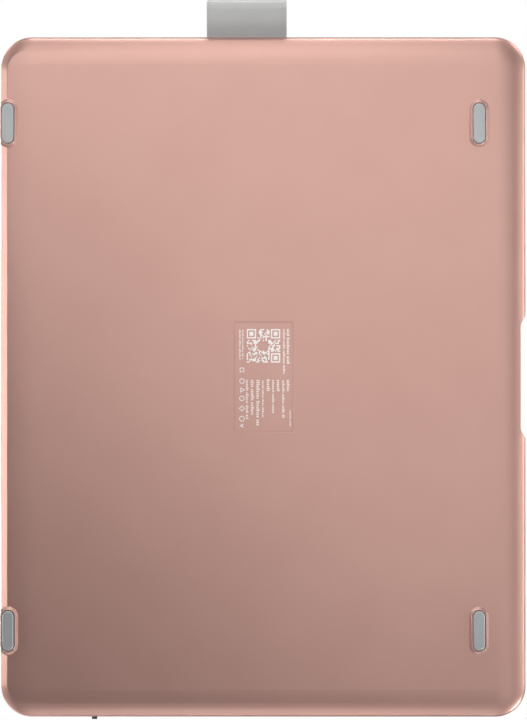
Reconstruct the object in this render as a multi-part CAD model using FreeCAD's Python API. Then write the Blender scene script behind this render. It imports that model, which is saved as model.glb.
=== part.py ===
import FreeCAD
import Part
import math
import os

# Keyboard case for a thin tablet with a screen of about 13 inches, closed and lying on its feet.
# Millimetres. +X is the typist's right, +Y points to the hinge side, +Z is up. While the pieces
# are made, x = 0 and y = 0 lie at the middle of the case outline and z = 0 is the table.
# Pieces are moved along X on export, so that the origin is under the middle of the whole object.

V = FreeCAD.Vector
X_AXIS = V(1, 0, 0)
Y_AXIS = V(0, 1, 0)
Z_AXIS = V(0, 0, 1)

# ---------------------------------------------------------------- driving dimensions
# tablet that the lid holds
TABLET_LENGTH = 280.6
TABLET_WIDTH = 214.9
TABLET_THICK = 5.9
TABLET_CLEARANCE = 0.2
TABLET_FACE_CLEARANCE = 0.1

# lid (tablet cover)
SIDE_WALL = 2.0
FRONT_WALL = 1.6
REAR_WALL = 3.1
CASE_CORNER = 13.0
LID_PLATE = 1.9
LID_TOP_ROUND = 3.2
LIP_DROP = 1.2
LIP_THICK = 1.2
LIP_REACH = 7.0
PAD_THICK = 0.5
PAD_INSET = 0.6

# base (keyboard half)
BASE_INSET = 0.4
BASE_THICK = 6.8
BASE_FLOOR = 1.5
BASE_WALL = 4.5
BASE_REAR_WALL = 5.1
CAVITY_CORNER = 8.0
DECK_RIM = 2.2
DECK_PLATE = 1.2
PILLOW_WIDTH = 11.5
PILLOW_HEIGHT = 4.0
REAR_BEVEL_WIDTH = 2.6
REAR_BEVEL_HEIGHT = 2.2
REAR_ROLL_WIDTH = 10.0
REAR_ROLL_HEIGHT = 0.5
LID_GAP = 0.4
PILLOW_STEPS = 4

# thumb notch in the front edge
NOTCH_LENGTH = 56.0
NOTCH_DEPTH = 2.5
NOTCH_RUNOUT = 7.5

# rubber feet
FOOT_LENGTH = 16.8
FOOT_WIDTH = 5.0
FOOT_PROUD = 0.8
FOOT_SINK = 0.5
FOOT_ROUND = 0.7
FOOT_GROOVE = 0.35
PLINTH_RIM = 1.6
PLINTH_SLOPE = 1.0
PLINTH_RISE = 0.45
FOOT_SIDE_INSET = 36.6
FRONT_FOOT_INSET = 20.0
REAR_FOOT_INSET = 3.3

# label on the underside
LABEL_LENGTH = 46.0
LABEL_WIDTH = 24.7
LABEL_CORNER = 1.0
LABEL_THICK = 0.15
LABEL_SINK = 0.2

# two-axis hinge, one on each side
HINGE_SIDE_INSET = 64.5
AXIS_INSET = 1.9
AXIS_DEPTH = 3.4
LINK_HALF_WIDTH = 20.0
LINK_THICK = 2.2
LINK_CLEARANCE = 0.25
KNUCKLE_RADIUS = 1.25
KNUCKLE_WIDTH = 4.5
PIN_RADIUS = 0.6
PIN_CLEARANCE = 0.05
WASHER_THICK = 0.4
WASHER_RADIUS = 1.15
WASHER_GAP = 0.05
LEAF_THICK = 0.8
LEAF_DEPTH = 11.5
ARM_GAP = 0.1
LID_LEAF_THICK = 0.6
LID_LEAF_DEPTH = 15.0
WEB_THICK = 0.7
HINGE_SCREW_COLUMNS = (-21.0, -8.0, 8.0, 21.0)
HINGE_SCREW_INSET = 4.0
SCREW_RADIUS = 0.8
SCREW_HEAD_RADIUS = 1.5
SCREW_HEAD_HEIGHT = 0.5
BASE_SCREW_LENGTH = 2.2
LID_SCREW_LENGTH = 1.4

# keyboard
KEY_PITCH = 18.6
KEY_GAP = 2.6
FUNCTION_PITCH = 9.6
KEYBOARD_UNITS = 14.5
KEYBOARD_REAR_INSET = 12.4
WELL_MARGIN = 0.8
WELL_DEPTH = 1.0
WELL_PLATE = 0.8
WELL_CORNER = 2.5
KEY_CORNER = 1.8
KEY_ROUND = 0.3
KEY_RISE = 0.3
KEY_HEIGHT = 1.65
KEY_ROOF = 0.6
KEY_SKIRT = 0.8
KEY_TRAVEL = 1.2
KEY_CLEARANCE = 0.35
KEY_SPLIT_GAP = 0.6
STEM_RADIUS = 1.2
STEM_FLOOR_GAP = 0.05
DOME_BORE = 1.5
DOME_RADIUS = 2.3
DOME_SLOPE = 0.3
DOME_HEIGHT = 0.95
DOME_SHEET = 0.3
LIGHT_SHEET = 0.3
SUPPORT_PLATE = 0.5
POST_RADIUS = 2.0
POST_COLUMNS = (-125.0, -75.0, -25.0, 25.0, 75.0, 125.0)
POST_ROWS = (96.0, 52.0)
REAR_POST_COLUMNS = (-125.0, -75.0, -25.0)
REAR_POST_ROW = 10.0

# trackpad
TRACKPAD_LENGTH = 110.0
TRACKPAD_WIDTH = 66.0
TRACKPAD_CORNER = 4.0
TRACKPAD_THICK = 1.2
TRACKPAD_SINK = 0.1
TRACKPAD_TRAVEL = 0.4
TRACKPAD_CLEARANCE = 0.3
TRACKPAD_FRONT_INSET = 19.0
TRACKPAD_BOARD_THICK = 1.0
TRACKPAD_BOARD_INSET = 4.0
TRACKPAD_SWITCH_HEIGHT = 0.25
TRACKPAD_SWITCH_RADIUS = 3.0

# pencil loop on the left side
LOOP_REACH = 16.7
LOOP_WIDTH = 33.4
LOOP_PLACE = 7.0
LOOP_BORE = 9.5
LOOP_WALL = 1.0
LOOP_DROP = 0.65
LOOP_TAIL = 1.2
LOOP_NECK_GAP = 0.3
LOOP_SLIT = 0.2
BEAD_RADIUS = 1.1
BEAD_INSET = 2.5
ROD_RADIUS = 0.5

# power switch on the right side
SWITCH_REAR_INSET = 39.3
KNOB_WIDTH = 2.2
KNOB_HEIGHT = 1.0
KNOB_RISE = 0.15
KNOB_PROUD = 0.7
KNOB_TRAVEL = 2.0
KNOB_CLEARANCE = 0.2
KNOB_FLANGE = 6.0
KNOB_FLANGE_THICK = 0.8
SWITCH_BODY_LENGTH = 12.0
SWITCH_BODY_DEPTH = 7.0
SWITCH_BODY_HEIGHT = 1.5

# charging socket in the rear wall
SOCKET_PLACE = 25.0
SOCKET_WIDTH = 8.94
SOCKET_HEIGHT = 3.16
SOCKET_DEPTH = 7.3
SOCKET_SHELL = 0.3
SOCKET_CLEARANCE = 0.12
TONGUE_WIDTH = 6.7
TONGUE_THICK = 0.7
TONGUE_LENGTH = 5.0
SOCKET_BACK = 1.0

# boards, battery cells, magnets and lights
BOARD_THICK = 0.57
BOARD_LENGTH = 120.0
BOARD_WIDTH = 32.0
BOARD_REAR_INSET = 17.6
BOARD_TAB = 20.0
CHIP_HEIGHT = 0.6
CHIPS = ((14.0, 10.0, 10.0), (40.0, -4.0, 7.0), (66.0, 8.0, 8.0), (92.0, -6.0, 5.0), (104.0, 9.0, 6.0))
CELL_LENGTH = 83.0
CELL_WIDTH = 41.0
CELL_THICK = 3.0
CELL_CORNER = 2.0
CELL_GAP = 3.0
CELL_FRONT_INSET = 12.6
RIBBON_THICK = 0.15
RIBBON_WIDTH = 8.0
MAGNET_RADIUS = 2.8
MAGNET_THICK = 1.5
MAGNET_SIDE_INSET = 17.5
MAGNET_FRONT_INSET = 8.5
LIGHT_RADIUS = 0.5
LIGHT_PITCH = 4.0
LIGHT_SIDE_INSET = 18.0
LIGHT_REAR_INSET = 6.0
LIGHT_COUNT = 3

# case screws, hidden under the feet
CASE_SCREW_RADIUS = 0.9
CASE_SCREW_HEAD = 1.7
CASE_SCREW_HEAD_HEIGHT = 0.8
CASE_SCREW_BITE = 1.2
BOSS_RADIUS = 3.0

# openings in the lid
CAMERA_SIZE = 34.0
CAMERA_CORNER = 8.0
CAMERA_INSET = 6.0
PORT_LENGTH = 16.0
PORT_HEIGHT = 4.6
SPEAKER_LENGTH = 24.0
SPEAKER_HEIGHT = 2.4
SPEAKER_PLACES = (-62.0, 62.0)
VOLUME_LENGTH = 30.0
VOLUME_PLACE = -92.0
BUTTON_HEIGHT = 3.2
POWER_LENGTH = 14.0
POWER_PLACE = -88.0
BUMPER_RADIUS = 1.5
BUMPER_GAP = 0.05
BUMPER_INSET = 7.0

# how far a cutter reaches past a wall, how deep joined shapes sink into each other, and the
# largest difference between two heights that count as one
CUT_MARGIN = 1.0
FUSE_OVERLAP = 0.5
SAME_HEIGHT = 1e-6

# ---------------------------------------------------------------- levels and places
CASE_X = TABLET_LENGTH / 2 + TABLET_CLEARANCE + SIDE_WALL
CASE_Y = (TABLET_WIDTH + 2 * TABLET_CLEARANCE + FRONT_WALL + REAR_WALL) / 2
BASE_X = CASE_X - BASE_INSET
BASE_Y = CASE_Y - BASE_INSET
BASE_CORNER = CASE_CORNER - BASE_INSET
BAY_X = CASE_X - SIDE_WALL
BAY_FRONT = -CASE_Y + FRONT_WALL
BAY_REAR = CASE_Y - REAR_WALL
BAY_CORNER = CASE_CORNER - SIDE_WALL

Z_BASE = FOOT_PROUD
Z_FLOOR = Z_BASE + BASE_FLOOR
Z_DECK_TOP = Z_BASE + BASE_THICK
Z_PARTING = Z_DECK_TOP - DECK_RIM
Z_DECK_UNDER = Z_DECK_TOP - DECK_PLATE
Z_WELL = Z_DECK_TOP - WELL_DEPTH
Z_WELL_UNDER = Z_WELL - WELL_PLATE
Z_LID = Z_DECK_TOP + LID_GAP
Z_LIP = Z_LID + LIP_DROP
Z_BAY = Z_LIP + LIP_THICK
Z_PAD = Z_BAY + TABLET_THICK + TABLET_FACE_CLEARANCE
Z_PLATE = Z_PAD + PAD_THICK
Z_TOP = Z_PLATE + LID_PLATE

HINGE_X = CASE_X - HINGE_SIDE_INSET
AXIS_Y = CASE_Y - AXIS_INSET
Z_LOWER_AXIS = Z_DECK_TOP - AXIS_DEPTH
Z_UPPER_AXIS = Z_LID + AXIS_DEPTH
LINK_END = LINK_THICK / 2
POCKET_HALF = LINK_HALF_WIDTH + WASHER_THICK + 2 * WASHER_GAP + KNUCKLE_WIDTH + LINK_CLEARANCE
KNUCKLE_START = LINK_HALF_WIDTH + WASHER_THICK + 2 * WASHER_GAP
Z_POCKET = Z_LOWER_AXIS - LINK_END - LINK_CLEARANCE
Z_POCKET_ROOF = Z_UPPER_AXIS + LINK_END + LINK_CLEARANCE
LEAF_FRONT = AXIS_Y - LEAF_DEPTH - KNUCKLE_RADIUS
LID_LEAF_FRONT = AXIS_Y - LID_LEAF_DEPTH

KEYBOARD_X = KEYBOARD_UNITS * KEY_PITCH / 2
KEYBOARD_REAR = CASE_Y - KEYBOARD_REAR_INSET
KEYBOARD_FRONT = KEYBOARD_REAR - FUNCTION_PITCH - 5 * KEY_PITCH
Z_KEY_TOP = Z_DECK_TOP + KEY_RISE
Z_KEY_FOOT = Z_KEY_TOP - KEY_HEIGHT
Z_DOME_SHEET = Z_KEY_FOOT - KEY_TRAVEL - STEM_FLOOR_GAP
Z_LIGHT_SHEET = Z_DOME_SHEET - DOME_SHEET
Z_SUPPORT = Z_LIGHT_SHEET - LIGHT_SHEET - SUPPORT_PLATE

TRACKPAD_Y = -CASE_Y + TRACKPAD_FRONT_INSET + TRACKPAD_WIDTH / 2
Z_TRACKPAD_TOP = Z_DECK_TOP - TRACKPAD_SINK
Z_TRACKPAD_UNDER = Z_TRACKPAD_TOP - TRACKPAD_THICK
Z_TRACKPAD_BOARD = (Z_TRACKPAD_UNDER - TRACKPAD_TRAVEL - STEM_FLOOR_GAP
                    - TRACKPAD_SWITCH_HEIGHT - TRACKPAD_BOARD_THICK)

BEAD_X = -BASE_X + BEAD_INSET
SWITCH_Y = CASE_Y - SWITCH_REAR_INSET
Z_KNOB = Z_PARTING + KNOB_RISE
FOOT_PLACES = (
    ("foot_front_left", -CASE_X + FOOT_SIDE_INSET, -CASE_Y + FRONT_FOOT_INSET),
    ("foot_front_right", CASE_X - FOOT_SIDE_INSET, -CASE_Y + FRONT_FOOT_INSET),
    ("foot_rear_left", -CASE_X + FOOT_SIDE_INSET, CASE_Y - REAR_FOOT_INSET),
    ("foot_rear_right", CASE_X - FOOT_SIDE_INSET, CASE_Y - REAR_FOOT_INSET),
)
Z_FOOT_SEAT = Z_BASE + FOOT_SINK
CELL_INNER = TRACKPAD_LENGTH / 2 + CELL_GAP
CELL_FRONT = -CASE_Y + CELL_FRONT_INSET
BOARD_REAR = CASE_Y - BOARD_REAR_INSET
Z_SOCKET = Z_DECK_UNDER - SOCKET_CLEARANCE - SOCKET_HEIGHT / 2
Z_BOARD = Z_SOCKET - SOCKET_HEIGHT / 2 - BOARD_THICK
Z_BAY_MIDDLE = Z_BAY + TABLET_THICK / 2

# widest reach on each side sets the middle of the whole object
OBJECT_LEFT = -CASE_X - LOOP_REACH
OBJECT_RIGHT = CASE_X + KNOB_PROUD
ORIGIN_X = (OBJECT_LEFT + OBJECT_RIGHT) / 2

# key rows, rear to front: (row depth, ((node, widths in key units, place in the row), ...))
FULL = "full"
UPPER = "upper"
LOWER = "lower"
FUNCTION_KEYS = 14
KEY_ROWS = (
    (FUNCTION_PITCH, (("function_row_keys", (KEYBOARD_UNITS / FUNCTION_KEYS,) * FUNCTION_KEYS, FULL),)),
    (KEY_PITCH, (("number_row_keys", (1,) * 13, FULL), ("delete_key", (1.5,), FULL))),
    (KEY_PITCH, (("tab_key", (1.5,), FULL), ("upper_letter_keys", (1,) * 13, FULL))),
    (KEY_PITCH, (("caps_lock_key", (1.75,), FULL), ("home_row_keys", (1,) * 11, FULL),
                 ("return_key", (1.75,), FULL))),
    (KEY_PITCH, (("left_shift_key", (2.25,), FULL), ("lower_letter_keys", (1,) * 10, FULL),
                 ("right_shift_key", (2.25,), FULL))),
    (KEY_PITCH, (("left_modifier_keys", (1, 1, 1, 1.25), FULL), ("space_bar", (5,), FULL),
                 ("right_modifier_keys", (1.25, 1), FULL), ("left_arrow_key", (1,), LOWER),
                 ("up_arrow_key", (1,), UPPER), ("down_arrow_key", (-1,), LOWER),
                 ("right_arrow_key", (1,), LOWER))),
)


# ---------------------------------------------------------------- helpers
def save(shape, node):
    placed = shape.copy()
    placed.translate(V(-ORIGIN_X, 0, 0))
    placed.exportStep("parts/" + node + ".step")


def block(x0, x1, y0, y1, z0, z1):
    return Part.makeBox(x1 - x0, y1 - y0, z1 - z0, V(x0, y0, z0))


def rounded_wire(x0, x1, y0, y1, z, front_radius, rear_radius):
    """Rectangle with arcs at its corners, drawn anticlockwise from the front left."""
    corners = (
        (x0 + front_radius, y0 + front_radius, front_radius, 180),
        (x1 - front_radius, y0 + front_radius, front_radius, 270),
        (x1 - rear_radius, y1 - rear_radius, rear_radius, 0),
        (x0 + rear_radius, y1 - rear_radius, rear_radius, 90),
    )
    arcs = []
    for cx, cy, radius, start in corners:
        points = []
        for step in (0, 45, 90):
            turn = math.radians(start + step)
            points.append(V(cx + radius * math.cos(turn), cy + radius * math.sin(turn), z))
        arcs.append(Part.Arc(*points).toShape())
    edges = []
    for index, arc in enumerate(arcs):
        following = arcs[(index + 1) % len(arcs)]
        edges.append(arc)
        edges.append(Part.makeLine(arc.Vertexes[-1].Point, following.Vertexes[0].Point))
    return Part.Wire(edges)


def slab(x0, x1, y0, y1, z0, z1, radius):
    wire = rounded_wire(x0, x1, y0, y1, z0, radius, radius)
    return Part.Face(wire).extrude(V(0, 0, z1 - z0))


def slab_at(cx, cy, length, width, z0, z1, radius):
    return slab(cx - length / 2, cx + length / 2, cy - width / 2, cy + width / 2, z0, z1, radius)


def obround_wire(cx, cy, length, width, z0):
    """Outline of a bar with round ends, long way along X."""
    radius = width / 2
    reach = length / 2 - radius
    left = V(cx - reach, cy, z0)
    right = V(cx + reach, cy, z0)
    edges = [
        Part.makeLine(left - V(0, radius, 0), right - V(0, radius, 0)),
        Part.Arc(right - V(0, radius, 0), right + V(radius, 0, 0), right + V(0, radius, 0)).toShape(),
        Part.makeLine(right + V(0, radius, 0), left + V(0, radius, 0)),
        Part.Arc(left + V(0, radius, 0), left - V(radius, 0, 0), left - V(0, radius, 0)).toShape(),
    ]
    return Part.Wire(edges)


def obround(cx, cy, length, width, z0, z1):
    return Part.Face(obround_wire(cx, cy, length, width, z0)).extrude(V(0, 0, z1 - z0))


def post(x, y, z0, z1, radius):
    return Part.makeCylinder(radius, z1 - z0, V(x, y, z0), Z_AXIS)


def rod_x(x0, x1, y, z, radius):
    return Part.makeCylinder(radius, x1 - x0, V(x0, y, z), X_AXIS)


def joined(shapes):
    first = shapes[0]
    if len(shapes) == 1:
        return first
    return first.fuse(shapes[1:]).removeSplitter()


def edges_at(shape, z):
    """Edges that lie flat at the height z."""
    found = []
    for edge in shape.Edges:
        if abs(edge.BoundBox.ZMin - z) < SAME_HEIGHT and abs(edge.BoundBox.ZMax - z) < SAME_HEIGHT:
            found.append(edge)
    return found


def countersunk_screw(x, y, z_head, length, direction):
    """Screw whose head face is at z_head; direction is +1 for a point that aims up."""
    head = Part.makeCone(SCREW_HEAD_RADIUS, SCREW_RADIUS, SCREW_HEAD_HEIGHT, V(x, y, z_head),
                         V(0, 0, direction))
    shank = Part.makeCylinder(SCREW_RADIUS, length, V(x, y, z_head), V(0, 0, direction))
    return head.fuse(shank)


def sides():
    return (("left", -1), ("right", 1))


# ---------------------------------------------------------------- shared cutting shapes
def notch_cutter():
    """Thumb notch: a shallow bay in the front edge with S-shaped ends, through the whole case."""
    half = NOTCH_LENGTH / 2
    floor = -CASE_Y + NOTCH_DEPTH
    swing = NOTCH_RUNOUT / 2
    outside = -CASE_Y - NOTCH_DEPTH

    def ramp(x_edge, x_floor, x_bend):
        curve = Part.BezierCurve()
        curve.setPoles([V(x_edge, -CASE_Y, 0), V(x_bend, -CASE_Y, 0), V(x_bend, floor, 0),
                        V(x_floor, floor, 0)])
        return curve.toShape()

    left = ramp(-half, -half + NOTCH_RUNOUT, -half + swing)
    right = ramp(half, half - NOTCH_RUNOUT, half - swing)
    edges = [
        left,
        Part.makeLine(V(-half + NOTCH_RUNOUT, floor, 0), V(half - NOTCH_RUNOUT, floor, 0)),
        right,
        Part.makeLine(V(half, -CASE_Y, 0), V(half, outside, 0)),
        Part.makeLine(V(half, outside, 0), V(-half, outside, 0)),
        Part.makeLine(V(-half, outside, 0), V(-half, -CASE_Y, 0)),
    ]
    wire = Part.Wire(Part.__sortEdges__(edges))
    return Part.Face(wire).extrude(V(0, 0, Z_TOP + CUT_MARGIN))


def knob_slot():
    """Slot in the right wall for the power switch knob and its travel."""
    rear = SWITCH_Y + KNOB_WIDTH / 2 + KNOB_TRAVEL + KNOB_CLEARANCE
    front = SWITCH_Y - KNOB_WIDTH / 2 - KNOB_CLEARANCE
    half = KNOB_HEIGHT / 2 + KNOB_CLEARANCE
    return block(BASE_X - BASE_WALL - CUT_MARGIN, CASE_X + CUT_MARGIN, front, rear, Z_KNOB - half,
                 Z_KNOB + half)


def socket_slot():
    """Opening in the rear wall round the charging socket."""
    length = SOCKET_WIDTH + 2 * SOCKET_CLEARANCE
    height = SOCKET_HEIGHT + 2 * SOCKET_CLEARANCE
    return obround_y(SOCKET_PLACE, Z_SOCKET, length, height, BASE_Y - BASE_REAR_WALL - CUT_MARGIN,
                     CASE_Y + CUT_MARGIN)


def obround_y(cx, cz, length, height, y0, y1):
    """Bar with round ends, long way along X, drawn out along Y."""
    bar = obround(cx, 0, length, height, 0, y1 - y0)
    bar.rotate(V(cx, 0, 0), X_AXIS, 90)
    bar.translate(V(0, y1, cz))
    return bar


def loop_slot():
    """Slot for the loop's flat tail and the round channel for its beaded end, left wall."""
    y0 = LOOP_PLACE - LOOP_WIDTH / 2
    y1 = LOOP_PLACE + LOOP_WIDTH / 2
    tail = block(-CASE_X - CUT_MARGIN, BEAD_X, y0, y1, Z_PARTING - LOOP_TAIL / 2,
                 Z_PARTING + LOOP_TAIL / 2)
    channel = Part.makeCylinder(BEAD_RADIUS, LOOP_WIDTH, V(BEAD_X, y0, Z_PARTING), Y_AXIS)
    return tail.fuse(channel)


def key_cells():
    """Every key as (node, centre x, centre y, cap length, cap width)."""
    cells = []
    rear = KEYBOARD_REAR
    for depth, groups in KEY_ROWS:
        centre_y = rear - depth / 2
        x = -KEYBOARD_X
        for node, widths, place in groups:
            for units in widths:
                if units < 0:
                    x += units * KEY_PITCH
                width = abs(units) * KEY_PITCH
                cap_width = depth - KEY_GAP
                cap_y = centre_y
                if place != FULL:
                    half_cap = (cap_width - KEY_SPLIT_GAP) / 2
                    shift = (cap_width - half_cap) / 2
                    cap_y = centre_y + (shift if place == UPPER else -shift)
                    cap_width = half_cap
                cells.append((node, x + width / 2, cap_y, width - KEY_GAP, cap_width))
                x += width
        rear -= depth
    return cells


# ---------------------------------------------------------------- base half
def base_section(z, side, rear):
    """Outline of the bottom shell at one height: side and rear are the insets there."""
    front_radius = BASE_CORNER - side
    rear_radius = BASE_CORNER - (side + rear) / 2
    return rounded_wire(-BASE_X + side, BASE_X - side, -BASE_Y + side, BASE_Y - rear, z,
                        front_radius, rear_radius)


def rear_inset(height):
    """How far the rear edge stands in, at a height above the underside: a faint roll, then a bevel."""
    if height < REAR_ROLL_HEIGHT:
        return REAR_BEVEL_WIDTH + REAR_ROLL_WIDTH * (1 - math.sqrt(height / REAR_ROLL_HEIGHT))
    if height < REAR_BEVEL_HEIGHT:
        return REAR_BEVEL_WIDTH * (REAR_BEVEL_HEIGHT - height) / (REAR_BEVEL_HEIGHT - REAR_ROLL_HEIGHT)
    return 0


def pillow_band(low, high):
    """Solid between two heights above the underside, its edge a quarter of an ellipse."""
    start = math.acos(1 - low / PILLOW_HEIGHT)
    end = math.acos(1 - high / PILLOW_HEIGHT)
    sections = []
    for index in range(PILLOW_STEPS + 1):
        turn = start + (end - start) * index / PILLOW_STEPS
        height = PILLOW_HEIGHT * (1 - math.cos(turn))
        side = PILLOW_WIDTH * (1 - math.sin(turn))
        sections.append(base_section(Z_BASE + height, side, rear_inset(height)))
    return Part.makeLoft(sections, True, False)


def pillow_body():
    """Solid of the bottom shell: soft pillow edge in front and at the sides, bevel at the rear."""
    pieces = [
        pillow_band(0, REAR_ROLL_HEIGHT),
        pillow_band(REAR_ROLL_HEIGHT, REAR_BEVEL_HEIGHT),
        pillow_band(REAR_BEVEL_HEIGHT, PILLOW_HEIGHT),
        slab(-BASE_X, BASE_X, -BASE_Y, BASE_Y, Z_BASE + PILLOW_HEIGHT, Z_PARTING, BASE_CORNER),
    ]
    return pieces[0].fuse(pieces[1:])


def cavity(z0, z1):
    return slab(-BASE_X + BASE_WALL, BASE_X - BASE_WALL, -BASE_Y + BASE_WALL,
                BASE_Y - BASE_REAR_WALL, z0, z1, CAVITY_CORNER)


def plinth(x, y):
    """Raised collar with a sloping side round a foot; the rear ones run out into the rear face."""
    bottom = Z_BASE - PLINTH_RISE
    length = FOOT_LENGTH + 2 * PLINTH_RIM
    width = FOOT_WIDTH + 2 * PLINTH_RIM
    foot_of_slope = obround_wire(x, y, length, width, Z_BASE)
    top_of_slope = obround_wire(x, y, length - 2 * PLINTH_SLOPE, width - 2 * PLINTH_SLOPE, bottom)
    slope = Part.makeLoft([foot_of_slope, top_of_slope], True, True)
    collar = slope.fuse(obround(x, y, length, width, Z_BASE, Z_BASE + REAR_BEVEL_HEIGHT))
    outline = slab(-BASE_X, BASE_X, -BASE_Y, BASE_Y, bottom, Z_PARTING, BASE_CORNER)
    keep = outline
    if y < 0:
        keep = outline.common(block(-BASE_X, BASE_X, -BASE_Y, BASE_Y, bottom, Z_FLOOR))
    return collar.common(keep)


def make_bottom_shell(screws):
    shell = pillow_body().cut(cavity(Z_FLOOR, Z_PARTING + CUT_MARGIN))
    root = Z_FLOOR - FUSE_OVERLAP
    additions = [plinth(x, y) for _, x, y in FOOT_PLACES]
    for _, x, y in FOOT_PLACES:
        if y < 0:
            additions.append(post(x, y, root, Z_PARTING, BOSS_RADIUS))
    for y_inset in POST_ROWS:
        for x in POST_COLUMNS:
            additions.append(post(x, KEYBOARD_REAR - y_inset, root, Z_SUPPORT, POST_RADIUS))
    for x in REAR_POST_COLUMNS:
        additions.append(post(x, KEYBOARD_REAR - REAR_POST_ROW, root, Z_SUPPORT, POST_RADIUS))
    for x_side in (-1, 1):
        for y_side in (-1, 1):
            x = x_side * (TRACKPAD_LENGTH / 2 - 2 * TRACKPAD_BOARD_INSET)
            y = TRACKPAD_Y + y_side * (TRACKPAD_WIDTH / 2 - 2 * TRACKPAD_BOARD_INSET)
            additions.append(post(x, y, root, Z_TRACKPAD_BOARD, POST_RADIUS))
    for _, side in sides():
        middle = side * HINGE_X
        additions.append(block(middle - POCKET_HALF, middle + POCKET_HALF,
                               LEAF_FRONT - LINK_CLEARANCE, BASE_Y - BASE_REAR_WALL + FUSE_OVERLAP,
                               root, Z_POCKET))
    shell = shell.fuse(additions)
    cuts = [notch_cutter(), knob_slot(), socket_slot(), loop_slot()]
    for _, side in sides():
        middle = side * HINGE_X
        cuts.append(block(middle - POCKET_HALF, middle + POCKET_HALF, LEAF_FRONT - LINK_CLEARANCE,
                          CASE_Y + CUT_MARGIN, Z_POCKET, Z_PARTING + CUT_MARGIN))
    for _, x, y in FOOT_PLACES:
        cuts.append(obround(x, y, FOOT_LENGTH + 2 * FOOT_GROOVE, FOOT_WIDTH + 2 * FOOT_GROOVE,
                            0, Z_FOOT_SEAT))
    cuts.append(slab_at(0, 0, LABEL_LENGTH, LABEL_WIDTH, 0, Z_BASE + LABEL_SINK, LABEL_CORNER))
    cuts.extend(screws)
    shell = shell.cut(cuts)
    return shell.removeSplitter()


def make_deck(screws):
    deck = slab(-BASE_X, BASE_X, -BASE_Y, BASE_Y, Z_PARTING, Z_DECK_TOP, BASE_CORNER)
    deck = deck.makeFillet(AXIS_INSET - BASE_INSET, edges_at(deck, Z_DECK_TOP))
    well_x = KEYBOARD_X + WELL_MARGIN
    well_front = KEYBOARD_FRONT - WELL_MARGIN
    well_rear = KEYBOARD_REAR + WELL_MARGIN
    deck = deck.cut([
        cavity(Z_PARTING - CUT_MARGIN, Z_WELL_UNDER),
        slab(-well_x, well_x, well_front, well_rear, Z_WELL, Z_DECK_TOP + CUT_MARGIN, WELL_CORNER),
        slab_at(0, TRACKPAD_Y, TRACKPAD_LENGTH + 2 * TRACKPAD_CLEARANCE,
                TRACKPAD_WIDTH + 2 * TRACKPAD_CLEARANCE, Z_PARTING - CUT_MARGIN,
                Z_DECK_TOP + CUT_MARGIN, TRACKPAD_CORNER),
    ])
    hollow_edge = well_front - BASE_FLOOR
    deck = deck.cut(block(-BASE_X + BASE_WALL, BASE_X - BASE_WALL,
                          -BASE_Y + BASE_WALL + CAVITY_CORNER, hollow_edge,
                          Z_WELL_UNDER - CUT_MARGIN, Z_DECK_UNDER))
    rear_edge = well_rear + BASE_FLOOR
    deck = deck.cut(block(-BASE_X + BASE_WALL + CAVITY_CORNER, BASE_X - BASE_WALL - CAVITY_CORNER,
                          rear_edge, BASE_Y - BASE_REAR_WALL, Z_WELL_UNDER - CUT_MARGIN, Z_DECK_UNDER))
    bosses = []
    for _, x, y in FOOT_PLACES:
        if y < 0:
            bosses.append(post(x, y, Z_PARTING, Z_DECK_UNDER + FUSE_OVERLAP, BOSS_RADIUS))
    deck = deck.fuse(bosses)
    cuts = [notch_cutter(), knob_slot(), socket_slot(), loop_slot()]
    for _, x, y, length, width in key_cells():
        cuts.append(slab_at(x, y, length + 2 * KEY_CLEARANCE, width + 2 * KEY_CLEARANCE,
                            Z_WELL_UNDER - CUT_MARGIN, Z_WELL + CUT_MARGIN,
                            KEY_CORNER + KEY_CLEARANCE))
    for _, side in sides():
        middle = side * HINGE_X
        window = LINK_HALF_WIDTH + LINK_CLEARANCE
        cuts.append(block(middle - window, middle + window, AXIS_Y - LINK_END - LINK_CLEARANCE,
                          CASE_Y + CUT_MARGIN, Z_PARTING - CUT_MARGIN, Z_DECK_TOP + CUT_MARGIN))
        cuts.append(block(middle - POCKET_HALF, middle + POCKET_HALF,
                          AXIS_Y - KNUCKLE_RADIUS - LINK_CLEARANCE, CASE_Y + CUT_MARGIN,
                          Z_PARTING - CUT_MARGIN, Z_LOWER_AXIS + KNUCKLE_RADIUS + LINK_CLEARANCE))
    for index in range(LIGHT_COUNT):
        x, y = light_place(index)
        cuts.append(post(x, y, Z_PARTING, Z_DECK_TOP + CUT_MARGIN, LIGHT_RADIUS))
    cuts.extend(screws)
    return deck.cut(cuts).removeSplitter()


def light_place(index):
    return (BASE_X - LIGHT_SIDE_INSET - index * LIGHT_PITCH, BASE_Y - LIGHT_REAR_INSET)


def make_foot(x, y):
    foot = obround(x, y, FOOT_LENGTH, FOOT_WIDTH, 0, Z_FOOT_SEAT)
    return foot.makeFillet(FOOT_ROUND, edges_at(foot, 0))


def make_label():
    return slab_at(0, 0, LABEL_LENGTH - 2 * LABEL_SINK, LABEL_WIDTH - 2 * LABEL_SINK,
                   Z_BASE + LABEL_SINK - LABEL_THICK, Z_BASE + LABEL_SINK, LABEL_CORNER)


def case_screw(x, y):
    head = post(x, y, Z_FOOT_SEAT, Z_FOOT_SEAT + CASE_SCREW_HEAD_HEIGHT, CASE_SCREW_HEAD)
    return head.fuse(post(x, y, Z_FOOT_SEAT, Z_PARTING + CASE_SCREW_BITE, CASE_SCREW_RADIUS))


def make_case_screws():
    return [case_screw(x, y) for _, x, y in FOOT_PLACES]


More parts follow.
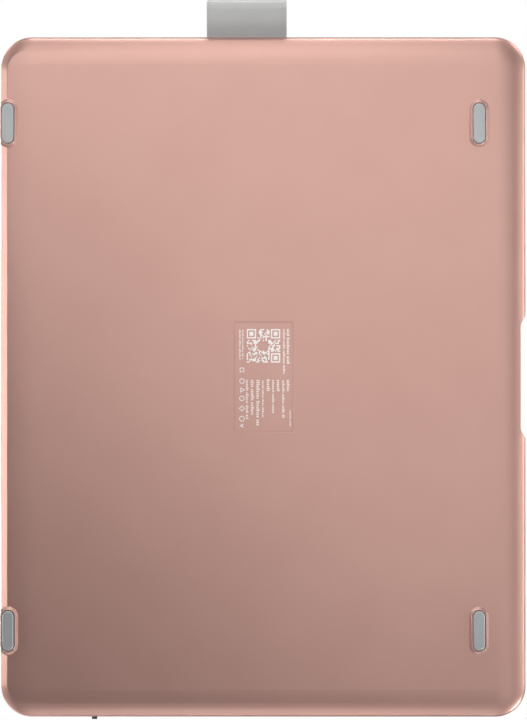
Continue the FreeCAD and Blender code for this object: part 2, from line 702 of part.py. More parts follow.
# ---------------------------------------------------------------- keyboard
def key_cap(length, width):
    """Hollow cap with its stem, at the origin and in its rest height."""
    cap = slab_at(0, 0, length, width, Z_KEY_FOOT, Z_KEY_TOP, KEY_CORNER)
    cap = cap.makeFillet(KEY_ROUND, edges_at(cap, Z_KEY_TOP))
    hollow = slab_at(0, 0, length - 2 * KEY_SKIRT, width - 2 * KEY_SKIRT, Z_KEY_FOOT,
                     Z_KEY_TOP - KEY_ROOF, KEY_CORNER - KEY_SKIRT)
    return cap.cut(hollow).fuse(post(0, 0, Z_KEY_FOOT, Z_KEY_TOP - KEY_ROOF, STEM_RADIUS))


def make_keys():
    """Caps by node: the keys of one node are separate solids."""
    nodes = {}
    patterns = {}
    for node, x, y, length, width in key_cells():
        size = (round(length, 4), round(width, 4))
        if size not in patterns:
            patterns[size] = key_cap(length, width)
        cap = patterns[size].copy()
        cap.translate(V(x, y, 0))
        nodes.setdefault(node, []).append(cap)
    return nodes


def keyboard_sheet(z0, z1):
    return slab(-KEYBOARD_X, KEYBOARD_X, KEYBOARD_FRONT, KEYBOARD_REAR, z0, z1, WELL_CORNER)


def make_dome_sheet():
    """Rubber sheet with a hollow dome wall round the stem of each key."""
    outer = Part.makeCone(DOME_RADIUS + DOME_SLOPE, DOME_RADIUS, DOME_HEIGHT, V(0, 0, Z_DOME_SHEET),
                          Z_AXIS)
    ring = outer.cut(post(0, 0, Z_DOME_SHEET, Z_DOME_SHEET + DOME_HEIGHT, DOME_BORE))
    rings = []
    for _, x, y, _, _ in key_cells():
        copy = ring.copy()
        copy.translate(V(x, y, 0))
        rings.append(copy)
    return keyboard_sheet(Z_LIGHT_SHEET, Z_DOME_SHEET).fuse(rings)


# ---------------------------------------------------------------- inside the base
def make_trackpad():
    pad = slab_at(0, TRACKPAD_Y, TRACKPAD_LENGTH, TRACKPAD_WIDTH, Z_TRACKPAD_UNDER, Z_TRACKPAD_TOP,
                  TRACKPAD_CORNER - TRACKPAD_CLEARANCE)
    return pad.makeFillet(KEY_ROUND, edges_at(pad, Z_TRACKPAD_TOP))


def make_trackpad_board():
    board = slab_at(0, TRACKPAD_Y, TRACKPAD_LENGTH - 2 * TRACKPAD_BOARD_INSET,
                    TRACKPAD_WIDTH - 2 * TRACKPAD_BOARD_INSET, Z_TRACKPAD_BOARD,
                    Z_TRACKPAD_BOARD + TRACKPAD_BOARD_THICK, TRACKPAD_CORNER)
    top = Z_TRACKPAD_BOARD + TRACKPAD_BOARD_THICK
    return board.fuse(post(0, TRACKPAD_Y, top, top + TRACKPAD_SWITCH_HEIGHT, TRACKPAD_SWITCH_RADIUS))


def make_cell(side):
    x = side * (CELL_INNER + CELL_WIDTH / 2)
    return slab_at(x, CELL_FRONT + CELL_LENGTH / 2, CELL_WIDTH, CELL_LENGTH, Z_FLOOR + RIBBON_THICK,
                   Z_FLOOR + RIBBON_THICK + CELL_THICK, CELL_CORNER)


def make_main_board():
    front = BOARD_REAR - BOARD_WIDTH
    board = slab(0, BOARD_LENGTH, front, BOARD_REAR, Z_BOARD, Z_BOARD + BOARD_THICK, CELL_CORNER)
    tab_rear = BASE_Y - BASE_REAR_WALL - LINK_CLEARANCE
    tab = block(SOCKET_PLACE - BOARD_TAB / 2, SOCKET_PLACE + BOARD_TAB / 2,
                BOARD_REAR - FUSE_OVERLAP, tab_rear, Z_BOARD, Z_BOARD + BOARD_THICK)
    pieces = [board, tab]
    middle = BOARD_REAR - BOARD_WIDTH / 2
    for x, y, size in CHIPS:
        top = Z_BOARD + BOARD_THICK
        pieces.append(block(x - size / 2, x + size / 2, middle + y - size / 2, middle + y + size / 2,
                            top, top + CHIP_HEIGHT))
    return joined(pieces)


def make_ribbons():
    """Flat cables on the shell floor: trackpad to board, and each cell to the board."""
    board_front = BOARD_REAR - BOARD_WIDTH
    z0 = Z_FLOOR
    z1 = Z_FLOOR + RIBBON_THICK
    trackpad_rear = TRACKPAD_Y + TRACKPAD_WIDTH / 2
    half = RIBBON_WIDTH / 2
    trackpad = block(-half, half, TRACKPAD_Y, board_front + half, z0, z1)
    cell_x = CELL_INNER + CELL_WIDTH / 2 + RIBBON_WIDTH
    right = block(cell_x - half, cell_x + half, CELL_FRONT + CELL_LENGTH - half,
                  board_front + half, z0, z1)
    turn_y = trackpad_rear + RIBBON_WIDTH
    left_up = block(-cell_x - half, -cell_x + half, CELL_FRONT + CELL_LENGTH - half,
                    turn_y + RIBBON_WIDTH, z0, z1)
    left_across = block(-cell_x - half, -half, turn_y, turn_y + RIBBON_WIDTH, z0, z1)
    return joined([trackpad, left_up, left_across]), right


def make_socket():
    y1 = BASE_Y - LINK_CLEARANCE
    y0 = y1 - SOCKET_DEPTH
    shell = obround_y(SOCKET_PLACE, Z_SOCKET, SOCKET_WIDTH, SOCKET_HEIGHT, y0, y1)
    hollow = obround_y(SOCKET_PLACE, Z_SOCKET, SOCKET_WIDTH - 2 * SOCKET_SHELL,
                       SOCKET_HEIGHT - 2 * SOCKET_SHELL, y0 + SOCKET_BACK, y1 + CUT_MARGIN)
    root = y0 + SOCKET_BACK - FUSE_OVERLAP
    tongue = block(SOCKET_PLACE - TONGUE_WIDTH / 2, SOCKET_PLACE + TONGUE_WIDTH / 2, root,
                   root + TONGUE_LENGTH, Z_SOCKET - TONGUE_THICK / 2, Z_SOCKET + TONGUE_THICK / 2)
    return shell.cut(hollow).fuse(tongue)


def make_switch_knob():
    """Knob outside, bar through the wall and flange inside it."""
    inner = BASE_X - BASE_WALL - KNOB_CLEARANCE
    bar = block(inner - KNOB_FLANGE_THICK, CASE_X + KNOB_PROUD, SWITCH_Y - KNOB_WIDTH / 2,
                SWITCH_Y + KNOB_WIDTH / 2, Z_KNOB - KNOB_HEIGHT / 2, Z_KNOB + KNOB_HEIGHT / 2)
    outer_edges = []
    for edge in bar.Edges:
        box = edge.BoundBox
        if abs(box.XMin - CASE_X - KNOB_PROUD) < SAME_HEIGHT:
            outer_edges.append(edge)
    bar = bar.makeFillet(KEY_ROUND, outer_edges)
    flange = block(inner - KNOB_FLANGE_THICK, inner, SWITCH_Y - KNOB_FLANGE / 2,
                   SWITCH_Y + KNOB_FLANGE / 2, Z_FLOOR + KNOB_CLEARANCE, Z_WELL_UNDER - KNOB_CLEARANCE)
    return bar.fuse(flange)


def make_switch_body():
    """Slide switch under the key plate, beside the flange of the knob."""
    x1 = BASE_X - BASE_WALL - 2 * KNOB_CLEARANCE - KNOB_FLANGE_THICK
    return block(x1 - SWITCH_BODY_DEPTH, x1, SWITCH_Y - SWITCH_BODY_LENGTH / 2 + KNOB_TRAVEL / 2,
                 SWITCH_Y + SWITCH_BODY_LENGTH / 2 + KNOB_TRAVEL / 2, Z_FLOOR,
                 Z_FLOOR + SWITCH_BODY_HEIGHT)


def make_magnets():
    magnets = []
    for _, side in sides():
        x = side * (BASE_X - MAGNET_SIDE_INSET)
        magnets.append(post(x, -BASE_Y + MAGNET_FRONT_INSET, Z_WELL_UNDER - MAGNET_THICK,
                            Z_WELL_UNDER, MAGNET_RADIUS))
    return magnets


def make_lights():
    lights = []
    for index in range(LIGHT_COUNT):
        x, y = light_place(index)
        lights.append(post(x, y, Z_PARTING + LIGHT_RADIUS, Z_DECK_TOP, LIGHT_RADIUS))
    return lights


# ---------------------------------------------------------------- pencil loop
def tangent_point(point, centre, radius, side):
    """Point where a line from point touches the circle; side is +1 above, -1 below. X-Z plane."""
    dx = point.x - centre.x
    dz = point.z - centre.z
    reach = math.hypot(dx, dz)
    turn = math.atan2(dz, dx) + side * math.acos(radius / reach)
    return V(centre.x + radius * math.cos(turn), 0, centre.z + radius * math.sin(turn))


def teardrop(start_x, half_height, centre, radius):
    """Round eye with straight sides that narrow to a neck at start_x, as a face in X-Z."""
    top = V(start_x, 0, Z_PARTING + half_height)
    bottom = V(start_x, 0, Z_PARTING - half_height)
    top_touch = tangent_point(top, centre, radius, 1)
    bottom_touch = tangent_point(bottom, centre, radius, -1)
    edges = [
        Part.makeLine(bottom, top),
        Part.makeLine(top, top_touch),
        Part.Arc(top_touch, centre - V(radius, 0, 0), bottom_touch).toShape(),
        Part.makeLine(bottom_touch, bottom),
    ]
    return Part.Face(Part.Wire(edges))


def make_pencil_loop():
    outer_radius = LOOP_BORE / 2 + LOOP_WALL
    centre = V(-CASE_X - LOOP_REACH + outer_radius, 0, outer_radius + LOOP_DROP)
    neck_x = -CASE_X - LOOP_NECK_GAP
    outer = teardrop(neck_x, LOOP_TAIL / 2, centre, outer_radius)
    inner = teardrop(neck_x - 2 * LOOP_WALL, LOOP_SLIT / 2, centre, LOOP_BORE / 2)
    eye = outer.cut(inner).extrude(V(0, LOOP_WIDTH, 0))
    eye.translate(V(0, LOOP_PLACE - LOOP_WIDTH / 2, 0))
    y0 = LOOP_PLACE - LOOP_WIDTH / 2
    y1 = LOOP_PLACE + LOOP_WIDTH / 2
    tail = block(neck_x, BEAD_X, y0, y1, Z_PARTING - LOOP_TAIL / 2, Z_PARTING + LOOP_TAIL / 2)
    bead = Part.makeCylinder(BEAD_RADIUS, LOOP_WIDTH, V(BEAD_X, y0, Z_PARTING), Y_AXIS)
    bore = Part.makeCylinder(ROD_RADIUS, LOOP_WIDTH + 2 * CUT_MARGIN,
                             V(BEAD_X, y0 - CUT_MARGIN, Z_PARTING), Y_AXIS)
    return eye.fuse([tail, bead]).cut(bore).removeSplitter()


def make_loop_rod():
    return Part.makeCylinder(ROD_RADIUS, LOOP_WIDTH, V(BEAD_X, LOOP_PLACE - LOOP_WIDTH / 2, Z_PARTING),
                             Y_AXIS)


# ---------------------------------------------------------------- hinges
def knuckles(middle, z):
    pair = []
    for side in (-1, 1):
        inner = middle + side * KNUCKLE_START
        outer = middle + side * (KNUCKLE_START + KNUCKLE_WIDTH)
        pair.append(rod_x(min(inner, outer), max(inner, outer), AXIS_Y, z, KNUCKLE_RADIUS))
    return pair


def arm(middle, side, y0, y1, z0, z1):
    inner = middle + side * KNUCKLE_START
    outer = middle + side * (KNUCKLE_START + KNUCKLE_WIDTH)
    return block(min(inner, outer), max(inner, outer), y0, y1, z0, z1)


def base_screws(middle):
    y = LEAF_FRONT + HINGE_SCREW_INSET
    head = Z_POCKET + LEAF_THICK
    return [countersunk_screw(middle + x, y, head, BASE_SCREW_LENGTH, -1) for x in HINGE_SCREW_COLUMNS]


def lid_screws(middle):
    y = LID_LEAF_FRONT + HINGE_SCREW_INSET
    return [countersunk_screw(middle + x, y, Z_PLATE, LID_SCREW_LENGTH, 1) for x in HINGE_SCREW_COLUMNS]


def make_base_bracket(middle):
    """Leaf on the floor of the pocket, with a knuckle at each side of the link."""
    half = KNUCKLE_START + KNUCKLE_WIDTH
    leaf_rear = AXIS_Y - LINK_END - LINK_CLEARANCE
    leaf = block(middle - half, middle + half, LEAF_FRONT, leaf_rear, Z_POCKET, Z_POCKET + LEAF_THICK)
    pieces = [leaf] + knuckles(middle, Z_LOWER_AXIS)
    for side in (-1, 1):
        pieces.append(arm(middle, side, leaf_rear - FUSE_OVERLAP, AXIS_Y, Z_POCKET + ARM_GAP,
                          Z_POCKET + LEAF_THICK))
    bracket = joined(pieces)
    bore = rod_x(middle - half - CUT_MARGIN, middle + half + CUT_MARGIN, AXIS_Y, Z_LOWER_AXIS, PIN_RADIUS)
    return bracket.cut([bore] + base_screws(middle))


def make_lid_bracket(middle):
    """Leaf under the lining, web down the rear wall and a knuckle at each side of the link."""
    half = KNUCKLE_START + KNUCKLE_WIDTH
    leaf = block(middle - half, middle + half, LID_LEAF_FRONT, BAY_REAR + WEB_THICK, Z_PLATE,
                 Z_PLATE + LID_LEAF_THICK)
    web = block(middle - half, middle + half, BAY_REAR, BAY_REAR + WEB_THICK, Z_POCKET_ROOF,
                Z_PLATE + LID_LEAF_THICK)
    pieces = [leaf, web] + knuckles(middle, Z_UPPER_AXIS)
    for side in (-1, 1):
        pieces.append(arm(middle, side, BAY_REAR, BAY_REAR + WEB_THICK, Z_UPPER_AXIS, Z_POCKET_ROOF))
    bracket = joined(pieces)
    bore = rod_x(middle - half - CUT_MARGIN, middle + half + CUT_MARGIN, AXIS_Y, Z_UPPER_AXIS, PIN_RADIUS)
    return bracket.cut([bore] + lid_screws(middle))


def make_link(middle):
    """Flat bar that turns on the base at its lower pin and carries the lid on its upper pin."""
    x0 = middle - LINK_HALF_WIDTH
    x1 = middle + LINK_HALF_WIDTH
    bar = block(x0, x1, AXIS_Y - LINK_END, AXIS_Y + LINK_END, Z_LOWER_AXIS, Z_UPPER_AXIS)
    link = joined([bar, rod_x(x0, x1, AXIS_Y, Z_LOWER_AXIS, LINK_END),
                   rod_x(x0, x1, AXIS_Y, Z_UPPER_AXIS, LINK_END)])
    bore = PIN_RADIUS + PIN_CLEARANCE
    return link.cut([rod_x(x0 - CUT_MARGIN, x1 + CUT_MARGIN, AXIS_Y, Z_LOWER_AXIS, bore),
                     rod_x(x0 - CUT_MARGIN, x1 + CUT_MARGIN, AXIS_Y, Z_UPPER_AXIS, bore)])


def make_pin(middle, z):
    half = KNUCKLE_START + KNUCKLE_WIDTH
    return rod_x(middle - half, middle + half, AXIS_Y, z, PIN_RADIUS)


def make_washers():
    washers = []
    for _, side in sides():
        middle = side * HINGE_X
        for end in (-1, 1):
            x = middle + end * (LINK_HALF_WIDTH + WASHER_GAP + WASHER_THICK / 2)
            for z in (Z_LOWER_AXIS, Z_UPPER_AXIS):
                disc = rod_x(x - WASHER_THICK / 2, x + WASHER_THICK / 2, AXIS_Y, z, WASHER_RADIUS)
                hole = rod_x(x - WASHER_THICK, x + WASHER_THICK, AXIS_Y, z, PIN_RADIUS + PIN_CLEARANCE)
                washers.append(disc.cut(hole))
    return washers


# ---------------------------------------------------------------- lid half
def corner_lips():
    """Slanted tab across each corner of the bay that holds the edge of the tablet."""
    frame = slab(-BAY_X, BAY_X, BAY_FRONT, BAY_REAR, Z_LIP, Z_BAY, BAY_CORNER)
    middle_y = (BAY_FRONT + BAY_REAR) / 2
    half_x = BAY_X
    half_y = (BAY_REAR - BAY_FRONT) / 2
    chord = BAY_CORNER * (2 - math.sqrt(2)) + LIP_REACH * math.sqrt(2)
    points = (
        (half_x - chord, half_y), (half_x, half_y - chord), (half_x, -half_y + chord),
        (half_x - chord, -half_y), (-half_x + chord, -half_y), (-half_x, -half_y + chord),
        (-half_x, half_y - chord), (-half_x + chord, half_y),
    )
    ring = [V(x, middle_y + y, Z_LIP) for x, y in points]
    middle = Part.Face(Part.makePolygon(ring + ring[:1])).extrude(V(0, 0, LIP_THICK))
    return frame.cut(middle)


def slot_through(x0, x1, y0, y1, height):
    return block(x0, x1, y0, y1, Z_BAY_MIDDLE - height / 2, Z_BAY_MIDDLE + height / 2)


def camera_window():
    x = -BAY_X + CAMERA_INSET + CAMERA_SIZE / 2
    y = BAY_FRONT + CAMERA_INSET + CAMERA_SIZE / 2
    return slab_at(x, y, CAMERA_SIZE, CAMERA_SIZE, Z_PAD - CUT_MARGIN, Z_TOP + CUT_MARGIN, CAMERA_CORNER)


def make_cover_shell():
    cover = slab(-CASE_X, CASE_X, -CASE_Y, CASE_Y, Z_LID, Z_TOP, CASE_CORNER)
    cover = cover.makeFillet(LID_TOP_ROUND, edges_at(cover, Z_TOP))
    cover = cover.makeFillet(AXIS_INSET, edges_at(cover, Z_LID))
    cover = cover.cut(slab(-BAY_X, BAY_X, BAY_FRONT, BAY_REAR, Z_LID - CUT_MARGIN, Z_PLATE, BAY_CORNER))
    cover = cover.fuse(corner_lips())
    inside = CASE_X - SIDE_WALL - CUT_MARGIN
    outside = CASE_X + CUT_MARGIN
    cuts = [notch_cutter(), camera_window()]
    cuts.append(slot_through(inside, outside, -PORT_LENGTH / 2, PORT_LENGTH / 2, PORT_HEIGHT))
    for place in SPEAKER_PLACES:
        y0 = place - SPEAKER_LENGTH / 2
        y1 = place + SPEAKER_LENGTH / 2
        cuts.append(slot_through(inside, outside, y0, y1, SPEAKER_HEIGHT))
        cuts.append(slot_through(-outside, -inside, y0, y1, SPEAKER_HEIGHT))
    cuts.append(slot_through(VOLUME_PLACE - VOLUME_LENGTH / 2, VOLUME_PLACE + VOLUME_LENGTH / 2,
                             -CASE_Y - CUT_MARGIN, BAY_FRONT + CUT_MARGIN, BUTTON_HEIGHT))
    cuts.append(slot_through(-outside, -inside, POWER_PLACE - POWER_LENGTH / 2,
                             POWER_PLACE + POWER_LENGTH / 2, BUTTON_HEIGHT))
    half = KNUCKLE_START + KNUCKLE_WIDTH
    for _, side in sides():
        middle = side * HINGE_X
        cuts.append(block(middle - POCKET_HALF, middle + POCKET_HALF, BAY_REAR - CUT_MARGIN,
                          CASE_Y + CUT_MARGIN, Z_LID - CUT_MARGIN, Z_POCKET_ROOF))
        cuts.append(block(middle - half, middle + half, BAY_REAR - CUT_MARGIN, BAY_REAR + WEB_THICK,
                          Z_POCKET_ROOF - CUT_MARGIN, Z_PLATE + LID_LEAF_THICK))
        cuts.append(block(middle - half, middle + half, LID_LEAF_FRONT, BAY_REAR, Z_PLATE - CUT_MARGIN,
                          Z_PLATE + LID_LEAF_THICK))
        cuts.extend(lid_screws(middle))
    return cover.cut(cuts).removeSplitter()


def make_lining():
    lining = slab(-BAY_X + PAD_INSET, BAY_X - PAD_INSET, BAY_FRONT + PAD_INSET + NOTCH_DEPTH - FRONT_WALL,
                  BAY_REAR - PAD_INSET, Z_PAD, Z_PLATE, BAY_CORNER - PAD_INSET)
    return lining.cut(camera_window())


def bumper_places():
    places = []
    for x_side in (-1, 1):
        for y_edge, y_side in ((BAY_FRONT, 1), (BAY_REAR, -1)):
            places.append((x_side * (BAY_X - BUMPER_INSET), y_edge + y_side * BUMPER_INSET))
    return places


def make_bumpers():
    return [post(x, y, Z_DECK_TOP + BUMPER_GAP, Z_LIP, BUMPER_RADIUS) for x, y in bumper_places()]


# ---------------------------------------------------------------- write every node
def main():
    os.makedirs("parts", exist_ok=True)
    case_screws = make_case_screws()
    left_screws = base_screws(-HINGE_X)
    right_screws = base_screws(HINGE_X)
    save(make_bottom_shell(case_screws + left_screws + right_screws), "bottom_shell")
    save(make_deck(case_screws), "deck")
    for node, x, y in FOOT_PLACES:
        save(make_foot(x, y), node)
    save(make_label(), "label")
    save(Part.makeCompound(case_screws), "case_screws")
    for node, caps in make_keys().items():
        save(Part.makeCompound(caps), node)
    save(make_dome_sheet(), "dome_sheet")
    save(keyboard_sheet(Z_LIGHT_SHEET - LIGHT_SHEET, Z_LIGHT_SHEET), "backlight_sheet")
    save(keyboard_sheet(Z_SUPPORT, Z_SUPPORT + SUPPORT_PLATE), "key_support_plate")
    save(make_trackpad(), "trackpad")
    save(make_trackpad_board(), "trackpad_board")
    for name, side in sides():
        save(make_cell(side), "battery_cell_" + name)
    save(make_main_board(), "main_board")
    save(Part.makeCompound(list(make_ribbons())), "ribbon_cables")
    save(make_socket(), "charging_socket")
    save(make_switch_knob(), "power_switch_knob")
    save(make_switch_body(), "power_switch_body")
    save(Part.makeCompound(make_magnets()), "base_magnets")
    save(Part.makeCompound(make_lights()), "status_light_pipes")
    save(make_pencil_loop(), "pencil_loop")
    save(make_loop_rod(), "loop_rod")
    for name, side in sides():
        middle = side * HINGE_X
        save(make_base_bracket(middle), "base_hinge_bracket_" + name)
        save(make_lid_bracket(middle), "lid_hinge_bracket_" + name)
        save(make_link(middle), "hinge_link_" + name)
        save(make_pin(middle, Z_LOWER_AXIS), "lower_hinge_pin_" + name)
        save(make_pin(middle, Z_UPPER_AXIS), "upper_hinge_pin_" + name)
    save(Part.makeCompound(make_washers()), "friction_washers")
    save(Part.makeCompound(left_screws + right_screws), "base_hinge_screws")
    save(Part.makeCompound(lid_screws(-HINGE_X) + lid_screws(HINGE_X)), "lid_hinge_screws")
    save(make_cover_shell(), "cover_shell")
    save(make_lining(), "lining")
    save(Part.makeCompound(make_bumpers()), "lid_bumpers")


main()
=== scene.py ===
# %% [markdown]
# # A folding keyboard case, seen from below
#
# The object is a keyboard in a thin metal-look shell that folds over a tablet like a book.
# It lies closed on four rubber feet, and the camera looks up at its underside.
#
# The first step loads the CAD model. Its parts are already in the right place, so every new
# piece is placed by reading where the parts are, and never by eye.

# %% Load the frame
import bpy
import math
import random
from mathutils import Matrix, Vector


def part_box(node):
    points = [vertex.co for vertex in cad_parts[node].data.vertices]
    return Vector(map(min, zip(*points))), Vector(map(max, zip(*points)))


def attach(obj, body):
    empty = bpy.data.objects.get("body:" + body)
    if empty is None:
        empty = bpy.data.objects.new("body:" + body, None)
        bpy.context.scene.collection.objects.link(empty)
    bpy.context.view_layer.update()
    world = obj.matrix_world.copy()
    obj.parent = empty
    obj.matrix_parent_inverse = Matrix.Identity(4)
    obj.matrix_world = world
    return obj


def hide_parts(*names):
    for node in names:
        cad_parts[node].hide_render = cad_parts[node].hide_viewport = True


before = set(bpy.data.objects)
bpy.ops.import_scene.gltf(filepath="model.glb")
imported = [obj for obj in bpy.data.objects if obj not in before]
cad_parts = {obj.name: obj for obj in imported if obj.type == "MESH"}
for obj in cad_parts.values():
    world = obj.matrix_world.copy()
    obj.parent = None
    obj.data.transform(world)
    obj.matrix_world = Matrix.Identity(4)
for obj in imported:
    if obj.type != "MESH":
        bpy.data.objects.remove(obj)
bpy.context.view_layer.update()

MM = 0.001
scene = bpy.context.scene

# %% [markdown]
# ## Find the middle of the case
#
# The pencil loop sticks out on one side, so the middle of the whole object is not the middle
# of the case. The lid has the full outline of the case, so its box gives the middle. A small
# helper turns millimetres from there into a point in metres.

# %% Places on the case
case_low, case_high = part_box("cover_shell")
case_middle = (case_low + case_high) / 2


def place(x, y, z):
    """Point in metres; x and y are millimetres from the case's middle, z from the table."""
    return Vector((case_middle.x + x * MM, case_middle.y + y * MM, z * MM))


print("case outline in mm:", [round(v / MM, 1) for v in case_high - case_low])

# %% [markdown]
# ## Camera
#
# The camera hangs far below the case and looks straight up, with the left side of the case at
# the top of the picture. A long lens keeps the sides of the case nearly parallel. The distance
# follows from the lens and from how much height has to fit into the picture.

# %% Camera below the case
FIELD_HEIGHT = 300.9 * MM
LENS = 180.0
SENSOR = 36.0
AIM_OFFSET = -7.1
distance = FIELD_HEIGHT * LENS / SENSOR
aim = place(AIM_OFFSET, 0, 3)
bpy.ops.object.camera_add(location=aim - Vector((0, 0, distance)),
                          rotation=(math.pi, 0, -math.pi / 2))
camera = bpy.context.object
camera.name = "camera_below"
camera.data.lens = LENS
camera.data.sensor_width = SENSOR
camera.data.clip_end = 50
scene.camera = camera
print("camera distance in m:", round(distance, 3))

# %% [markdown]
# ## Floor and background
#
# The case stands on a plain pale floor. Seen from above the floor is an ordinary matt sheet.
# From below it has to let the camera through, so its back side is clear, and it is left out
# of shadows and reflections, which would hide the lamps under it. The background is white for
# the camera and a dim grey for the light that it gives.

# %% Floor and background
FLOOR_SIZE = 12.0
WORLD_LIGHT = 0.01


def link(material, source, target):
    material.node_tree.links.new(source, target)


def make_floor():
    bpy.ops.mesh.primitive_plane_add(size=FLOOR_SIZE, location=(0, 0, 0))
    floor = bpy.context.object
    floor.name = "studio_floor"
    paper = bpy.data.materials.new("floor_paper")
    paper.use_nodes = True
    nodes = paper.node_tree.nodes
    matt = nodes["Principled BSDF"]
    matt.inputs["Base Color"].default_value = (0.78, 0.78, 0.79, 1)
    matt.inputs["Roughness"].default_value = 0.9
    clear = nodes.new("ShaderNodeBsdfTransparent")
    side = nodes.new("ShaderNodeNewGeometry")
    mix = nodes.new("ShaderNodeMixShader")
    link(paper, side.outputs["Backfacing"], mix.inputs["Fac"])
    link(paper, matt.outputs["BSDF"], mix.inputs[1])
    link(paper, clear.outputs["BSDF"], mix.inputs[2])
    link(paper, mix.outputs["Shader"], nodes["Material Output"].inputs["Surface"])
    floor.data.materials.append(paper)
    floor.visible_diffuse = False
    floor.visible_glossy = False
    floor.visible_transmission = False
    floor.visible_shadow = False


def make_background():
    world = bpy.data.worlds.new("white_studio")
    world.use_nodes = True
    scene.world = world
    nodes = world.node_tree.nodes
    dim = nodes["Background"]
    dim.inputs["Color"].default_value = (1, 1, 1, 1)
    dim.inputs["Strength"].default_value = WORLD_LIGHT
    white = nodes.new("ShaderNodeBackground")
    white.inputs["Color"].default_value = (1, 1, 1, 1)
    path = nodes.new("ShaderNodeLightPath")
    mix = nodes.new("ShaderNodeMixShader")
    links = world.node_tree.links
    links.new(path.outputs["Is Camera Ray"], mix.inputs["Fac"])
    links.new(dim.outputs["Background"], mix.inputs[1])
    links.new(white.outputs["Background"], mix.inputs[2])
    links.new(mix.outputs["Shader"], nodes["World Output"].inputs["Surface"])


scene.view_settings.view_transform = "Standard"
make_floor()
make_background()
print("floor size in m:", FLOOR_SIZE)

# %% [markdown]
# ## Lamps
#
# Satin metal shows its lamps as soft gradients. Lamps near the camera's line light the flat
# underside: most of them stand towards the loop and the opening edge, so the far corner at the
# hinge stays dark. Lamps near the level of the table only reach the rounded edges and draw the
# bright lines there. Two lamps and a wide soft sun above light the lid and the floor.
#
# The places lie on rings. Which lamps of the rings are lit, and the powers of the close and round
# lamps (but the upper two), of the opening, corner and right edge lamps and of the corner beam,
# come from a separate least-squares program and were then rounded. The other powers were given,
# not fitted.

# %% Lamps below and above
def soft_lamp(name, position, aim_point, width, height, power):
    bpy.ops.object.light_add(type="AREA", location=position)
    lamp = bpy.context.object
    lamp.name = name
    lamp.data.shape = "RECTANGLE"
    lamp.data.size = width
    lamp.data.size_y = height
    lamp.data.energy = power
    lamp.visible_camera = False
    direction = aim_point - position
    lamp.rotation_euler = direction.to_track_quat("-Z", "Y").to_euler()
    return lamp


AIM_HEIGHT = 5
EDGE_LAMP_SIZE = (0.45, 0.18)
SUN_TILT = (-28, -20)
SUN_POWER = 1.7
SUN_SPREAD = 60
# name, place in mm, side in m, power in W
CLOSE_LAMPS = (
    ("panel_middle", (0, 30, -300), 0.12, 0.034),
    ("panel_right", (90, -60, -300), 0.12, 0.027),
    ("panel_loop", (-90, 30, -300), 0.12, 0.007),
)
ROUND_LAMPS = (
    ("opening_near", (0, -205, -564), 0.25, 0.215),
    ("hinge_near", (-212, 212, -520), 0.25, 0.386),
    ("loop_near", (-401, 0, -446), 0.25, 0.30),
    ("loop_middle", (-539, 0, -263), 0.25, 0.246),
    ("axis_far", (-229, 0, -1076), 0.30, 0.28),
    ("loop_far", (-550, 0, -953), 0.42, 0.76),
    ("opening_far", (389, -389, -953), 0.42, 0.585),
    ("loop_slope", (-933, 0, -583), 0.45, 0.2),
    ("opening_slope", (0, -933, -583), 0.45, 1.1),
    ("right_slope", (933, 0, -583), 0.45, 1.22),
    ("upper_key", (-600, -700, 900), 0.9, 8.0),
    ("upper_fill", (800, 500, 700), 0.9, 4.0),
)
# name, place in mm, power in W; these stay under the level of the floor
EDGE_LAMPS = (
    ("loop_edge", (-1096, 0, -96), 3.0),
    ("opening_edge", (0, -1096, -96), 2.8),
    ("corner_edge", (778, -778, -96), 5.7),
    ("right_edge", (1096, 0, -96), 1.0),
    ("hinge_edge", (0, 1096, -96), 5.0),
    ("loop_corner", (-778, -778, -96), 2.5),
    ("loop_hinge_corner", (-778, 778, -96), 2.0),
    ("hinge_corner", (778, 778, -96), 2.0),
)
for name, (x, y, z), side, power in CLOSE_LAMPS:
    soft_lamp(name, place(x, y, z), place(x, y, AIM_HEIGHT), side, side, power)
for name, (x, y, z), side, power in ROUND_LAMPS:
    soft_lamp(name, place(x, y, z), place(0, 0, AIM_HEIGHT), side, side, power)
for name, (x, y, z), power in EDGE_LAMPS:
    soft_lamp(name, place(x, y, z), place(0, 0, AIM_HEIGHT), *EDGE_LAMP_SIZE, power)
corner_beam = soft_lamp("corner_beam", place(-159, -119, -495), place(-110, -70, AIM_HEIGHT),
                        0.25, 0.25, 0.044)
corner_beam.data.spread = math.radians(90)
bpy.ops.object.light_add(type="SUN", location=place(0, 0, 2000),
                         rotation=(*map(math.radians, SUN_TILT), 0))
sky = bpy.context.object
sky.name = "upper_sky"
sky.data.energy = SUN_POWER
sky.data.angle = math.radians(SUN_SPREAD)
print("lamps:", len(CLOSE_LAMPS) + len(ROUND_LAMPS) + len(EDGE_LAMPS) + 2)

# %% [markdown]
# ## One helper for every finish
#
# Each finish is a Principled surface. Its colour drifts slowly between two close tones, its
# gloss varies a little, and a fine grain bends the light. All patterns read Object
# coordinates, so they stay fixed on the part when it moves.

# %% Finish helper
COAT_ROUGHNESS = 0.3


